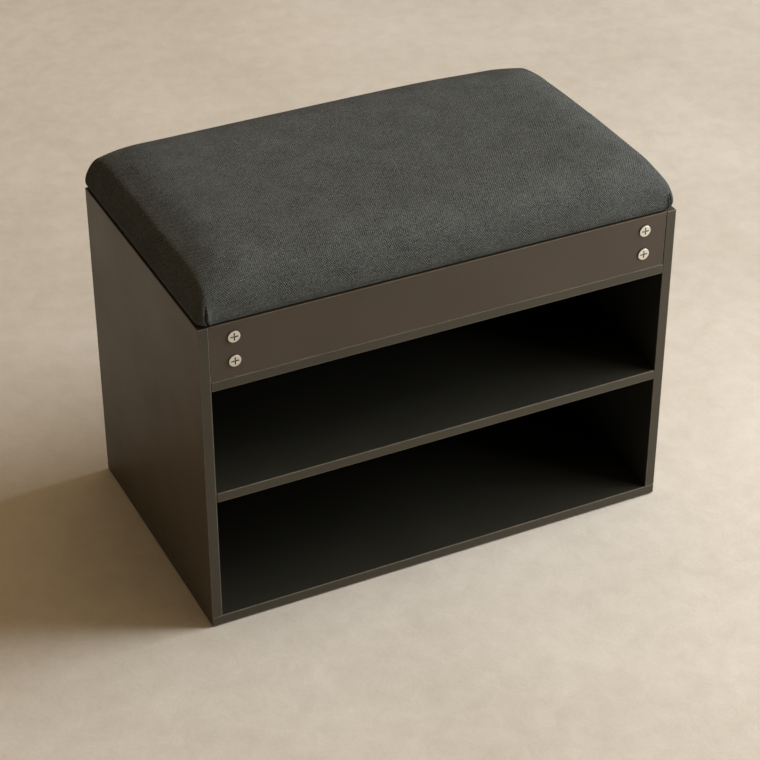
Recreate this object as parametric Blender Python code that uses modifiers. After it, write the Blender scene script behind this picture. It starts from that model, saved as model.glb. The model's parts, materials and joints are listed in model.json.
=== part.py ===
"""Entryway bench: a flip-top storage bench with two open shoe bays and an upholstered, hinged seat.

Units are metres, +Z is up, +X is to the right and the open bays face -Y.
The origin is on the floor, under the centre of the bench's bounding box.
Run with: blender --background --python part.py
"""

import math

import bmesh
import bpy
from mathutils import Matrix, Vector

# ---------------------------------------------------------------- driving dimensions
GAP = 0.0003                    # clearance between touching pieces
BENCH_WIDTH = 0.600
CARCASS_DEPTH = 0.352
CARCASS_TOP = 0.410
BOARD = 0.0125                  # faced chipboard
BOARD_EDGE = 0.0010             # eased arris of the edge band
RAIL_EDGE = 0.0006
RAIL_SETBACK = 0.0008           # from the boards' front edges to the front rail's face
BACK_THICKNESS = 0.003          # hardboard back, slid into grooves
BACK_SETBACK = 0.008            # from the boards' rear edges to the back panel
GROOVE_DEPTH = 0.005
GLIDE_HEIGHT = 0.0015
SHELF_TOP = 0.1895
FLOOR_TOP = 0.3395              # top of the storage compartment's floor
SHELF_END_GAP = 0.0007
REAR_RAIL_DROP = 0.0018         # below the carcass's top, to clear the hinges' lid leaves
ROW_INSET = 0.045               # from the boards' front and rear edges to pins, dowels and screws

# rail bolts, two at each end of the front rail
BOLT_INSET = 0.029              # from the side panel's inner face
BOLT_UPPER_Z = 0.3916
BOLT_PITCH = 0.031
BOLT_HEAD_R = 0.0073
BOLT_HEAD_T = 0.0013
BOLT_SHANK_R = 0.003
BOLT_LENGTH = 0.028
BOLT_HEAD_ROUNDING = 0.0006
BOLT_RECESS = (0.0015, 0.0092, 0.0010)      # width, span and depth of a cross recess
NUT_R = 0.005
NUT_LENGTH = 0.013
NUT_FLANGE = 0.0015
NUT_FLANGE_T = 0.001
BLOCK_WIDTH = 0.044
BLOCK_DEPTH = 0.021
BLOCK_TOP_DROP = 0.002
BLOCK_EDGE = 0.001
BLOCK_SCREW_LENGTH = 0.022
BLOCK_SCREW_IN_BLOCK = 0.018    # timber between a screw's head and the side panel
BLOCK_SCREW_IN_SIDE = 0.0055    # depth of the pilot hole in the side panel
BLOCK_SCREW_END_INSET = 0.0105  # from the compartment's floor and from the carcass's top

# butt hinges at the rear top edge
HINGE_X = 0.185
HINGE_LENGTH = 0.050
KNUCKLE_R = 0.003
HINGE_PIN_R = 0.0015
LEAF = 0.0014
LEAF_REACH = 0.030
LEAF_SCREW_REACH = 0.0248
LEAF_SCREW_X = 0.015
KNUCKLES = 5
KNUCKLE_CLEARANCE = 0.0004
HINGE_PIN_PROUD = 0.0004
HINGE_SCREW_LENGTH = 0.0115
HINGE_SCREW_SINK = 0.0002

# upholstered lid
LID_UNDERSIDE = 0.4115
LID_SIDE_INSET = 0.0022
LID_FRONT_INSET = 0.0012
LID_BACK_INSET = 0.0022
SEAT_TOP = 0.4700
SEAT_SHOULDER = 0.4615          # height of the seat's top face at its edges
COVER_THICKNESS = 0.0014
SEAT_CROWN_SPARE = 0.0012       # the smoothed form settles this far below its cage
SEAT_EDGE_LOOP = 0.022          # the smaller, the sharper the top's edge
SEAT_RIM_LOOP = 0.005
FOAM_RIM_LOOP = 0.003
SEAT_FLAT_PART = 0.3            # the cage's inner loops, as a share of its width from each side
HEM_WIDTH = 0.0165
LID_BOARD = 0.012
LID_BOARD_INSET = 0.0015
LID_BOARD_CORNER = 0.022
LID_BOARD_EDGE = 0.0008
DUST_COVER_THICKNESS = 0.0006
BUMPER_R = 0.0045
BUMPER_INSET = 0.011
BUMPER_OFFSET = 0.0015          # from the middle of the side panel's edge

# small hardware
WOOD_SCREW_R = 0.0016
WOOD_SCREW_HEAD_R = 0.0033
WOOD_SCREW_TIP = 0.0035
WOOD_SCREW_RIM = 0.0003
WOOD_SCREW_RECESS = (0.0009, 0.0036, 0.0010)
BASE_SCREW_R = 0.0022
BASE_SCREW_HEAD_R = 0.004
BASE_SCREW_LENGTH = 0.045
BASE_SCREW_TIP = 0.004
BASE_SCREW_RECESS = (0.0011, 0.0046, 0.0012)
BASE_SCREW_SINK_DEPTH = 0.0028
DOWEL_R = 0.004
DOWEL_LENGTH = 0.030
DOWEL_IN_SIDE = 0.008
DOWEL_EDGE = 0.0008
SHELF_PIN_R = 0.0025
SHELF_PIN_LENGTH = 0.017
SHELF_PIN_IN_SIDE = 0.008
SMALL_EDGE = 0.0003
GLIDE_R = 0.009
GLIDE_INSET_X = 0.028
GLIDE_INSET_Y = 0.022
BORE_SPARE = 0.002              # how far a through hole's cutter runs past the hole

# ---------------------------------------------------------------- derived positions
BOLT_PROUD = GAP + BOLT_HEAD_T - RAIL_SETBACK
HINGE_PROUD = GAP + 2 * KNUCKLE_R
FRONT = BOLT_PROUD - (BOLT_PROUD + CARCASS_DEPTH + HINGE_PROUD) / 2
BACK = FRONT + CARCASS_DEPTH
RAIL_FRONT = FRONT + RAIL_SETBACK
SIDE_OUT = BENCH_WIDTH / 2
SIDE_IN = SIDE_OUT - BOARD
INNER = SIDE_IN - GAP           # end face of a board fitted between the sides
BASE_TOP = GLIDE_HEIGHT + BOARD
BACK_PANEL_REAR = BACK - BACK_SETBACK
BACK_PANEL_FRONT = BACK_PANEL_REAR - BACK_THICKNESS
REAR_RAIL_TOP = CARCASS_TOP - REAR_RAIL_DROP
HINGE_Y = BACK + GAP + KNUCKLE_R
HINGE_Z = LID_UNDERSIDE - GAP - KNUCKLE_R
BLOCK_BACK = RAIL_FRONT + BOARD + GAP + BLOCK_DEPTH
SIDES = (("left", -1), ("right", 1))
ROWS = (("front", FRONT + ROW_INSET), ("rear", BACK - ROW_INSET))

parts = None
cutters = None


# ---------------------------------------------------------------- helpers
def clear_scene():
    for obj in list(bpy.data.objects):
        bpy.data.objects.remove(obj, do_unlink=True)


def add_collection(name):
    collection = bpy.data.collections.new(name)
    bpy.context.scene.collection.children.link(collection)
    return collection


def make_material(name, color, roughness, metallic=0.0):
    material = bpy.data.materials.new(name)
    material.use_nodes = True
    shader = material.node_tree.nodes["Principled BSDF"]
    shader.inputs["Base Color"].default_value = (*color, 1.0)
    shader.inputs["Roughness"].default_value = roughness
    shader.inputs["Metallic"].default_value = metallic
    return material


def claim(obj, name, material, collection):
    """Name a new object and move it into its collection, with a material of its own."""
    obj.name = name
    obj.data.name = name
    for old in list(obj.users_collection):
        old.objects.unlink(obj)
    collection.objects.link(obj)
    if collection is cutters:
        obj.hide_render = True
        obj.display_type = "WIRE"
    if material is not None:
        own = material.copy()
        own.name = name
        obj.data.materials.clear()
        obj.data.materials.append(own)
    return obj


def smooth(obj):
    obj.data.shade_smooth()
    obj.data.set_sharp_from_angle(angle=math.radians(35))


def bevel(obj, width, segments=2):
    modifier = obj.modifiers.new("edges", "BEVEL")
    modifier.width = width
    modifier.segments = segments
    modifier.limit_method = "ANGLE"
    return obj


def boolean(obj, other, operation="DIFFERENCE"):
    modifier = obj.modifiers.new(operation.lower(), "BOOLEAN")
    modifier.object = other
    modifier.operation = operation
    modifier.solver = "EXACT"


def box(name, low, high, material=None, edge=0.0, collection=None):
    low, high = Vector(low), Vector(high)
    bpy.ops.mesh.primitive_cube_add(size=1.0, location=(low + high) / 2)
    obj = claim(bpy.context.object, name, material, collection or parts)
    obj.data.transform(Matrix.Diagonal((*(high - low), 1.0)))
    if edge:
        bevel(obj, edge)
    return obj


AXIS_TURN = {
    "X": Matrix.Rotation(math.radians(90), 4, "Y"),
    "Y": Matrix.Rotation(math.radians(-90), 4, "X"),
    "Z": Matrix.Identity(4),
}


def rod(name, center, radius, length, axis, material=None, edge=0.0, sides=16, collection=None):
    """A round bar centred on a point and lying along one axis."""
    bpy.ops.mesh.primitive_cylinder_add(vertices=sides, radius=radius, depth=length, location=center)
    obj = claim(bpy.context.object, name, material, collection or parts)
    obj.data.transform(AXIS_TURN[axis])
    if edge:
        bevel(obj, edge, 1)
    smooth(obj)
    return obj


def turned(name, profile, material, steps=24):
    """Revolve an (r, z) profile about Z; the profile runs down its outer side, top to bottom."""
    mesh = bpy.data.meshes.new(name)
    shape = bmesh.new()
    vertices = [shape.verts.new((radius, 0.0, height)) for radius, height in profile]
    for first, second in zip(vertices, vertices[1:]):
        shape.edges.new((first, second))
    shape.to_mesh(mesh)
    shape.free()
    obj = bpy.data.objects.new(name, mesh)
    bpy.context.scene.collection.objects.link(obj)
    claim(obj, name, material, parts)
    screw = obj.modifiers.new("turn", "SCREW")
    screw.axis = "Z"
    screw.steps = steps
    screw.render_steps = steps
    screw.use_merge_vertices = True
    screw.merge_threshold = 0.00001
    screw.use_smooth_shade = True
    return obj


def fixed_mesh(obj):
    """Replace an object's mesh by its evaluated shape, and return that mesh."""
    graph = bpy.context.evaluated_depsgraph_get()
    mesh = bpy.data.meshes.new_from_object(obj.evaluated_get(graph))
    obj.modifiers.clear()
    obj.data = mesh
    return mesh


def copies(master, placements, material):
    """Place copies of a master piece; placements are (name, location, rotation)."""
    mesh = fixed_mesh(master)
    bpy.data.objects.remove(master, do_unlink=True)
    mesh.shade_smooth()
    mesh.set_sharp_from_angle(angle=math.radians(35))
    placed = []
    for name, location, rotation in placements:
        obj = bpy.data.objects.new(name, mesh.copy())
        bpy.context.scene.collection.objects.link(obj)
        claim(obj, name, material, parts)
        obj.location = location
        obj.rotation_euler = rotation
        placed.append(obj)
    bpy.data.meshes.remove(mesh)
    return placed


def hole(name, targets, center, radius, length, axis, sides=10):
    cutter = rod(name, center, radius, length, axis, sides=sides, collection=cutters)
    for target in targets:
        boolean(target, cutter)
    return cutter


def cross_recess(obj, name, face_z, recess):
    """Sink a cross-shaped driver recess into a head whose outer face is at face_z."""
    width, span, depth = recess
    for turn, (half_x, half_y) in enumerate(((span / 2, width / 2), (width / 2, span / 2))):
        low = (-half_x, -half_y, face_z - depth)
        high = (half_x, half_y, face_z + depth)
        boolean(obj, box(f"{name}_recess_{turn}", low, high, collection=cutters))


# ---------------------------------------------------------------- carcass boards
def carcass_boards(board):
    made = {}
    for side, sign in SIDES:
        outer, inner = sign * SIDE_OUT, sign * SIDE_IN
        low_x, high_x = min(outer, inner), max(outer, inner)
        made[side] = box(f"{side}_side_panel", (low_x, FRONT, BASE_TOP + GAP),
                         (high_x, BACK, CARCASS_TOP), board, BOARD_EDGE)
    made["bottom"] = box("bottom_panel", (-SIDE_OUT, FRONT, GLIDE_HEIGHT),
                         (SIDE_OUT, BACK, BASE_TOP), board, BOARD_EDGE)
    shelf_end = SIDE_IN - SHELF_END_GAP
    made["shelf"] = box("middle_shelf", (-shelf_end, FRONT, SHELF_TOP - BOARD),
                        (shelf_end, BACK_PANEL_FRONT - 2 * GAP, SHELF_TOP), board, BOARD_EDGE)
    made["floor"] = box("storage_floor", (-INNER, FRONT, FLOOR_TOP - BOARD),
                        (INNER, BACK, FLOOR_TOP), board, BOARD_EDGE)
    made["front_rail"] = box("front_rail", (-INNER, RAIL_FRONT, FLOOR_TOP + GAP),
                             (INNER, RAIL_FRONT + BOARD, CARCASS_TOP), board, RAIL_EDGE)
    made["rear_rail"] = box("rear_rail", (-INNER, BACK - BOARD, FLOOR_TOP + GAP),
                            (INNER, BACK, REAR_RAIL_TOP), board, RAIL_EDGE)
    return made


def back_panel(made, board_inside):
    """Slide the thin back into grooves in the sides, the bottom panel and the storage floor."""
    reach = GROOVE_DEPTH - GAP
    low = Vector((-SIDE_IN - reach, BACK_PANEL_FRONT, BASE_TOP - reach))
    high = Vector((SIDE_IN + reach, BACK_PANEL_REAR, FLOOR_TOP - BOARD + reach))
    box("back_panel", low, high, board_inside)
    margin = Vector((GAP, GAP, GAP))
    groove = box("cut_groove", low - margin, high + margin, collection=cutters)
    for board in ("left", "right", "bottom", "floor"):
        boolean(made[board], groove)


def shelf_pins(made, steel):
    """Plain pins in the side panels, under the four corners of the shelf."""
    pin_z = SHELF_TOP - BOARD - GAP - SHELF_PIN_R
    for side, sign in SIDES:
        center_x = sign * (SIDE_IN + SHELF_PIN_IN_SIDE - SHELF_PIN_LENGTH / 2)
        for row, y in ROWS:
            rod(f"shelf_pin_{row}_{side}", (center_x, y, pin_z), SHELF_PIN_R,
                SHELF_PIN_LENGTH, "X", steel, SMALL_EDGE)
            hole(f"cut_shelf_pin_{row}_{side}", [made[side]], (center_x, y, pin_z),
                 SHELF_PIN_R + GAP, SHELF_PIN_LENGTH + 2 * GAP, "X")


def dowels(made, wood):
    """Beech dowels from the sides into the ends of the storage floor and the rear rail."""
    middle = SIDE_IN + DOWEL_IN_SIDE - DOWEL_LENGTH / 2
    places = [(f"floor_dowel_{row}", made["floor"], y, FLOOR_TOP - BOARD / 2) for row, y in ROWS]
    places.append(("rear_rail_dowel", made["rear_rail"], BACK - BOARD / 2,
                   (FLOOR_TOP + REAR_RAIL_TOP) / 2))
    for side, sign in SIDES:
        for name, board, y, z in places:
            center = (sign * middle, y, z)
            rod(f"{name}_{side}", center, DOWEL_R, DOWEL_LENGTH, "X", wood, DOWEL_EDGE)
            hole(f"cut_{name}_{side}", [made[side], board], center, DOWEL_R + GAP,
                 DOWEL_LENGTH + 2 * GAP, "X")


def base_screws(made, steel):
    """Countersunk screws up through the bottom panel into the side panels."""
    head_depth = BASE_SCREW_HEAD_R - BASE_SCREW_R
    tip = BASE_SCREW_LENGTH
    profile = [(0, tip), (BASE_SCREW_R * 0.4, tip), (BASE_SCREW_R, tip - BASE_SCREW_TIP),
               (BASE_SCREW_R, head_depth), (BASE_SCREW_HEAD_R, 0), (0, 0)]
    master = turned("base_screw_master", profile, steel, 16)
    cross_recess(master, "base_screw", 0.0, BASE_SCREW_RECESS)
    placements = []
    for side, sign in SIDES:
        for row, y in ROWS:
            place = (sign * (SIDE_OUT - BOARD / 2), y, GLIDE_HEIGHT + GAP)
            placements.append((f"base_screw_{row}_{side}", place, (0, 0, 0)))
            middle = (place[0], y, GLIDE_HEIGHT + tip / 2)
            hole(f"cut_base_screw_{row}_{side}", [made["bottom"], made[side]], middle,
                 BASE_SCREW_R + GAP, tip + BORE_SPARE, "Z")
            sink = rod(f"sink_base_screw_{row}_{side}", (place[0], y, GLIDE_HEIGHT),
                       BASE_SCREW_HEAD_R + GAP, 2 * BASE_SCREW_SINK_DEPTH, "Z", collection=cutters)
            boolean(made["bottom"], sink)
    copies(master, placements, steel)


def glides(rubber):
    for side, sign in SIDES:
        for row, y in (("front", FRONT + GLIDE_INSET_Y), ("rear", BACK - GLIDE_INSET_Y)):
            height = GLIDE_HEIGHT - GAP
            center = (sign * (SIDE_OUT - GLIDE_INSET_X), y, height / 2)
            rod(f"glide_{row}_{side}", center, GLIDE_R, height, "Z", rubber, SMALL_EDGE, sides=20)


# ---------------------------------------------------------------- rail bolts and corner blocks
def corner_blocks(made, pine, steel):
    """Timber blocks in the compartment's front corners, held to the sides by two screws each."""
    made["blocks"] = {}
    screw = wood_screw_master("block_screw_master", steel, BLOCK_SCREW_LENGTH)
    placements = []
    y = (RAIL_FRONT + BOARD + GAP + BLOCK_BACK) / 2
    for side, sign in SIDES:
        near, far = sign * INNER, sign * (INNER - BLOCK_WIDTH)
        low = (min(near, far), RAIL_FRONT + BOARD + GAP, FLOOR_TOP + GAP)
        high = (max(near, far), BLOCK_BACK, CARCASS_TOP - BLOCK_TOP_DROP)
        block = box(f"corner_block_{side}", low, high, pine)
        bevel(block, BLOCK_EDGE, 1)
        made["blocks"][side] = block
        for level, z in (("lower", FLOOR_TOP + BLOCK_SCREW_END_INSET),
                         ("upper", CARCASS_TOP - BLOCK_SCREW_END_INSET)):
            head_x = sign * (INNER - BLOCK_SCREW_IN_BLOCK)
            placements.append((f"block_screw_{level}_{side}", (head_x, y, z),
                               (0, sign * math.pi / 2, 0)))
            reach = BLOCK_SCREW_IN_BLOCK + BLOCK_SCREW_IN_SIDE
            hole(f"cut_block_screw_{level}_{side}", [block, made[side]],
                 (head_x + sign * reach / 2, y, z), WOOD_SCREW_R + GAP, reach, "X", sides=8)
            pocket_end = head_x + sign * (WOOD_SCREW_HEAD_R - WOOD_SCREW_R + GAP)
            pocket_start = far - sign * BORE_SPARE
            pocket = rod(f"sink_block_screw_{level}_{side}", ((pocket_start + pocket_end) / 2, y, z),
                         WOOD_SCREW_HEAD_R + 2 * GAP, abs(pocket_end - pocket_start), "X",
                         collection=cutters)
            boolean(block, pocket)
    copies(screw, placements, steel)


def wood_screw_master(name, steel, length):
    """A countersunk screw with its head's face at z = 0 and its shank along +Z."""
    head_depth = WOOD_SCREW_HEAD_R - WOOD_SCREW_R
    profile = [(0, length), (WOOD_SCREW_R, length - WOOD_SCREW_TIP), (WOOD_SCREW_R, head_depth),
               (WOOD_SCREW_HEAD_R, WOOD_SCREW_RIM), (WOOD_SCREW_HEAD_R, 0), (0, 0)]
    master = turned(name, profile, steel, 12)
    cross_recess(master, name, 0.0, WOOD_SCREW_RECESS)
    return master


def rail_bolts(made, zinc, steel):
    """Pan-head bolts through the front rail, each into a flanged insert nut in its corner block."""
    rounding = BOLT_HEAD_ROUNDING
    round_edge = [(BOLT_HEAD_R - rounding * (1 - math.sin(turn)),
                   -BOLT_HEAD_T + rounding * (1 - math.cos(turn)))
                  for turn in (math.radians(90), math.radians(45), 0.0)]
    profile = [(0, BOLT_LENGTH), (BOLT_SHANK_R - rounding, BOLT_LENGTH),
               (BOLT_SHANK_R, BOLT_LENGTH - rounding), (BOLT_SHANK_R, 0), (BOLT_HEAD_R - SMALL_EDGE, 0)]
    profile += [*round_edge, (0, -BOLT_HEAD_T)]
    bolt = turned("rail_bolt_master", profile, zinc, 28)
    cross_recess(bolt, "rail_bolt", -BOLT_HEAD_T, BOLT_RECESS)
    bore, flange = BOLT_SHANK_R + GAP, NUT_R + NUT_FLANGE
    nut_profile = [(bore, 0), (flange, 0), (flange, -NUT_FLANGE_T), (NUT_R, -NUT_FLANGE_T),
                   (NUT_R, -NUT_LENGTH), (bore, -NUT_LENGTH), (bore, 0)]
    nut = turned("insert_nut_master", nut_profile, steel, 16)
    bolts, nuts = [], []
    for side, sign in SIDES:
        for level, z in (("upper", BOLT_UPPER_Z), ("lower", BOLT_UPPER_Z - BOLT_PITCH)):
            x = sign * (SIDE_IN - BOLT_INSET)
            bolts.append((f"rail_bolt_{level}_{side}", (x, RAIL_FRONT - GAP, z), (-math.pi / 2, 0, 0)))
            nuts.append((f"insert_nut_{level}_{side}", (x, BLOCK_BACK + GAP + NUT_FLANGE_T, z),
                         (-math.pi / 2, 0, 0)))
            middle = RAIL_FRONT + (BOARD + BLOCK_DEPTH) / 2
            hole(f"cut_bolt_{level}_{side}", [made["front_rail"], made["blocks"][side]],
                 (x, middle, z), BOLT_SHANK_R + GAP, BOARD + BLOCK_DEPTH + 2 * BORE_SPARE, "Y")
            hole(f"cut_nut_{level}_{side}", [made["blocks"][side]], (x, BLOCK_BACK - GAP, z),
                 NUT_R + GAP, 2 * (NUT_LENGTH - NUT_FLANGE_T), "Y")
    copies(bolt, bolts, zinc)
    copies(nut, nuts, steel)


# ---------------------------------------------------------------- upholstered lid
def seat_form(name, low, high, shoulder, edge_top, edge_bottom, material):
    """A crowned cushion: a coarse cage whose edge loops set how round each edge is."""
    low, high = Vector(low), Vector(high)
    size = high - low
    cage = bmesh.new()
    bmesh.ops.create_cube(cage, size=1.0)
    bmesh.ops.scale(cage, vec=size, verts=cage.verts)
    bmesh.ops.translate(cage, vec=(low + high) / 2, verts=cage.verts)
    loops = []
    for axis in (0, 1):
        direction = Vector((0, 0, 0))
        direction[axis] = 1
        ends = (low[axis] + edge_top, high[axis] - edge_top)
        inner = (low[axis] + size[axis] * SEAT_FLAT_PART, high[axis] - size[axis] * SEAT_FLAT_PART)
        loops += [(direction, place) for place in (*ends, *inner, (low[axis] + high[axis]) / 2)]
    loops.append((Vector((0, 0, 1)), low.z + edge_bottom))
    loops.append((Vector((0, 0, 1)), shoulder - edge_top * 0.55))
    for direction, place in loops:
        geometry = cage.verts[:] + cage.edges[:] + cage.faces[:]
        bmesh.ops.bisect_plane(cage, geom=geometry, dist=1e-6, plane_co=direction * place,
                               plane_no=direction)
    middle = (low + high) / 2
    cage.normal_update()
    for vertex in cage.verts:
        if vertex.co.z > high.z - 1e-5:
            across = abs(vertex.co.x - middle.x) / (size.x / 2)
            along = abs(vertex.co.y - middle.y) / (size.y / 2)
            rise = (1 - across ** 3) * (1 - along ** 2.5)
            vertex.co.z = shoulder + (high.z - shoulder) * rise
    crease = cage.edges.layers.float.new("crease_edge")
    for edge in cage.edges:
        level = all(vertex.co.z < low.z + 1e-5 for vertex in edge.verts)
        if level and any(face.normal.z > -0.5 for face in edge.link_faces):
            edge[crease] = 1.0
    mesh = bpy.data.meshes.new(name)
    cage.to_mesh(mesh)
    cage.free()
    obj = bpy.data.objects.new(name, mesh)
    bpy.context.scene.collection.objects.link(obj)
    claim(obj, name, material, parts)
    smoothing = obj.modifiers.new("soft", "SUBSURF")
    smoothing.levels = 1
    smoothing.render_levels = 1
    obj.data.shade_smooth()
    return obj


def open_underside(obj, low, high):
    """Remove the cushion's underside inside the hem, so that the cover wraps the lid board."""
    mesh = fixed_mesh(obj)
    shell = bmesh.new()
    shell.from_mesh(mesh)
    for axis in (0, 1):
        for place in (low[axis], high[axis]):
            direction = Vector((0, 0, 0))
            direction[axis] = 1
            base = [face for face in shell.faces if is_underside(face)]
            edges = {edge for face in base for edge in face.edges}
            points = {vertex for face in base for vertex in face.verts}
            bmesh.ops.bisect_plane(shell, geom=[*points, *edges, *base], dist=1e-7,
                                   plane_co=direction * place, plane_no=direction)
    inside = []
    for face in shell.faces:
        center = face.calc_center_median()
        within = low[0] < center.x < high[0] and low[1] < center.y < high[1]
        if is_underside(face) and within:
            inside.append(face)
    bmesh.ops.delete(shell, geom=inside, context="FACES")
    shell.to_mesh(mesh)
    shell.free()
    skin = obj.modifiers.new("skin", "SOLIDIFY")
    skin.thickness = COVER_THICKNESS
    skin.offset = -1.0


def is_underside(face):
    return face.normal.z < -0.8 and face.calc_center_median().z < LID_UNDERSIDE + 0.004


def upholstered_lid(fabric, foam, chipboard, felt_cloth, rubber):
    made = {}
    low = (-SIDE_OUT + LID_SIDE_INSET, FRONT + LID_FRONT_INSET, LID_UNDERSIDE)
    high = (SIDE_OUT - LID_SIDE_INSET, BACK - LID_BACK_INSET, SEAT_TOP + SEAT_CROWN_SPARE)
    cover = seat_form("seat_cover", low, high, SEAT_SHOULDER, SEAT_EDGE_LOOP, SEAT_RIM_LOOP, fabric)
    hem_low = (low[0] + HEM_WIDTH, low[1] + HEM_WIDTH)
    hem_high = (high[0] - HEM_WIDTH, high[1] - HEM_WIDTH)
    open_underside(cover, hem_low, hem_high)
    inset = COVER_THICKNESS + 2 * GAP
    rim = inset + LID_BOARD_INSET
    board_low = (low[0] + rim, low[1] + rim, LID_UNDERSIDE + inset)
    board_high = (high[0] - rim, high[1] - rim, board_low[2] + LID_BOARD)
    made["lid_board"] = rounded_board("lid_board", board_low, board_high, chipboard)
    seat_form("seat_foam", (low[0] + inset, low[1] + inset, board_high[2] + GAP),
              (high[0] - inset, high[1] - inset, high[2] - inset - GAP),
              SEAT_SHOULDER - inset, SEAT_EDGE_LOOP, FOAM_RIM_LOOP, foam)
    clear = 2 * GAP
    dust_bottom = LID_UNDERSIDE + GAP
    dust_low = (hem_low[0] + clear, hem_low[1] + clear, dust_bottom)
    dust_high = (hem_high[0] - clear, hem_high[1] - clear, dust_bottom + DUST_COVER_THICKNESS)
    made["dust_cover"] = box("dust_cover", dust_low, dust_high, felt_cloth)
    for side, sign in SIDES:
        height = LID_UNDERSIDE - CARCASS_TOP - 2 * GAP
        center = (sign * (SIDE_IN + BOARD / 2 - BUMPER_OFFSET), FRONT + BUMPER_INSET,
                  CARCASS_TOP + GAP + height / 2)
        rod(f"lid_bumper_{side}", center, BUMPER_R, height, "Z", rubber, SMALL_EDGE / 2)
    return made


def rounded_board(name, low, high, material):
    """A board whose four upright corners are rounded and whose arrises are eased."""
    obj = box(name, low, high, material)
    shape = bmesh.new()
    shape.from_mesh(obj.data)
    upright = [edge for edge in shape.edges if abs(edge.verts[0].co.z - edge.verts[1].co.z) > 1e-4]
    bmesh.ops.bevel(shape, geom=upright, offset=LID_BOARD_CORNER, segments=4, affect="EDGES",
                    profile=0.5)
    shape.to_mesh(obj.data)
    shape.free()
    bevel(obj, LID_BOARD_EDGE, 1)
    return obj


# ---------------------------------------------------------------- hinges
def hinge_leaf(name, center_x, plate_low, plate_high, own_spans, steel):
    """One leaf: a plate and a barrel in one piece, with the other leaf's knuckles cut away."""
    leaf = box(name, plate_low, plate_high, steel)
    axis_point = (center_x, HINGE_Y, HINGE_Z)
    barrel = rod(f"{name}_barrel", axis_point, KNUCKLE_R, HINGE_LENGTH, "X", sides=20,
                 collection=cutters)
    boolean(leaf, barrel, "UNION")
    pitch = HINGE_LENGTH / KNUCKLES
    reach = KNUCKLE_R + KNUCKLE_CLEARANCE
    for span in range(KNUCKLES):
        if span in own_spans:
            continue
        start = center_x - HINGE_LENGTH / 2 + span * pitch - KNUCKLE_CLEARANCE / 2
        if span == 0:
            start -= KNUCKLE_CLEARANCE
        end = center_x - HINGE_LENGTH / 2 + (span + 1) * pitch + KNUCKLE_CLEARANCE / 2
        if span == KNUCKLES - 1:
            end += KNUCKLE_CLEARANCE
        notch = box(f"{name}_notch_{span}", (start, HINGE_Y - reach, HINGE_Z - reach),
                    (end, HINGE_Y + reach, HINGE_Z + reach), collection=cutters)
        boolean(leaf, notch)
    hole(f"{name}_bore", [leaf], axis_point, HINGE_PIN_R + GAP, HINGE_LENGTH + 2 * BORE_SPARE,
         "X", 16)
    return leaf


def hinges(made, lid, steel):
    screw = wood_screw_master("hinge_screw_master", steel, HINGE_SCREW_LENGTH)
    placements = []
    frame_y = BACK + GAP
    for side, sign in SIDES:
        x = sign * HINGE_X
        frame_leaf = hinge_leaf(f"hinge_frame_leaf_{side}", x,
                                (x - HINGE_LENGTH / 2, frame_y, HINGE_Z - LEAF_REACH),
                                (x + HINGE_LENGTH / 2, frame_y + LEAF, HINGE_Z), (0, 2, 4), steel)
        lid_leaf = hinge_leaf(f"hinge_lid_leaf_{side}", x,
                              (x - HINGE_LENGTH / 2, HINGE_Y - LEAF_REACH, HINGE_Z + KNUCKLE_R - LEAF),
                              (x + HINGE_LENGTH / 2, HINGE_Y, HINGE_Z + KNUCKLE_R), (1, 3), steel)
        rod(f"hinge_pin_{side}", (x, HINGE_Y, HINGE_Z), HINGE_PIN_R,
            HINGE_LENGTH + 2 * HINGE_PIN_PROUD, "X", steel, SMALL_EDGE)
        for hand, offset in (("outer", sign * LEAF_SCREW_X), ("inner", -sign * LEAF_SCREW_X)):
            screw_x = x + offset
            name = f"hinge_frame_screw_{hand}_{side}"
            face_y = frame_y + LEAF - HINGE_SCREW_SINK
            z = HINGE_Z - LEAF_SCREW_REACH
            placements.append((name, (screw_x, face_y, z), (math.pi / 2, 0, 0)))
            screw_holes(name, [frame_leaf], [made["rear_rail"]], (screw_x, face_y, z), "Y", -1)
            name = f"hinge_lid_screw_{hand}_{side}"
            face_z = HINGE_Z + KNUCKLE_R - LEAF + HINGE_SCREW_SINK
            y = HINGE_Y - LEAF_SCREW_REACH
            placements.append((name, (screw_x, y, face_z), (0, 0, 0)))
            screw_holes(name, [lid_leaf], [lid["dust_cover"], lid["lid_board"]],
                        (screw_x, y, face_z), "Z", 1)
    copies(screw, placements, steel)


def screw_holes(name, countersunk, plain, face, axis, direction):
    """A wide hole in the leaf for the screw's head, and a plain one in what is behind it."""
    index = "XYZ".index(axis)
    middle = list(face)
    depth = HINGE_SCREW_LENGTH + GAP
    middle[index] += direction * depth / 2
    hole(f"cut_{name}", plain, middle, WOOD_SCREW_R + GAP, depth, axis, sides=8)
    head_reach = WOOD_SCREW_HEAD_R - WOOD_SCREW_R
    sink_middle = list(face)
    sink_middle[index] += direction * head_reach / 2
    sink = rod(f"sink_{name}", sink_middle, WOOD_SCREW_HEAD_R + GAP, head_reach + 2 * BORE_SPARE,
               axis, collection=cutters)
    for target in countersunk:
        boolean(target, sink)
    relief = rod(f"relief_{name}", sink_middle, WOOD_SCREW_HEAD_R + GAP, head_reach + 2 * GAP, axis,
                 sides=12, collection=cutters)
    boolean(plain[0], relief)


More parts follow.
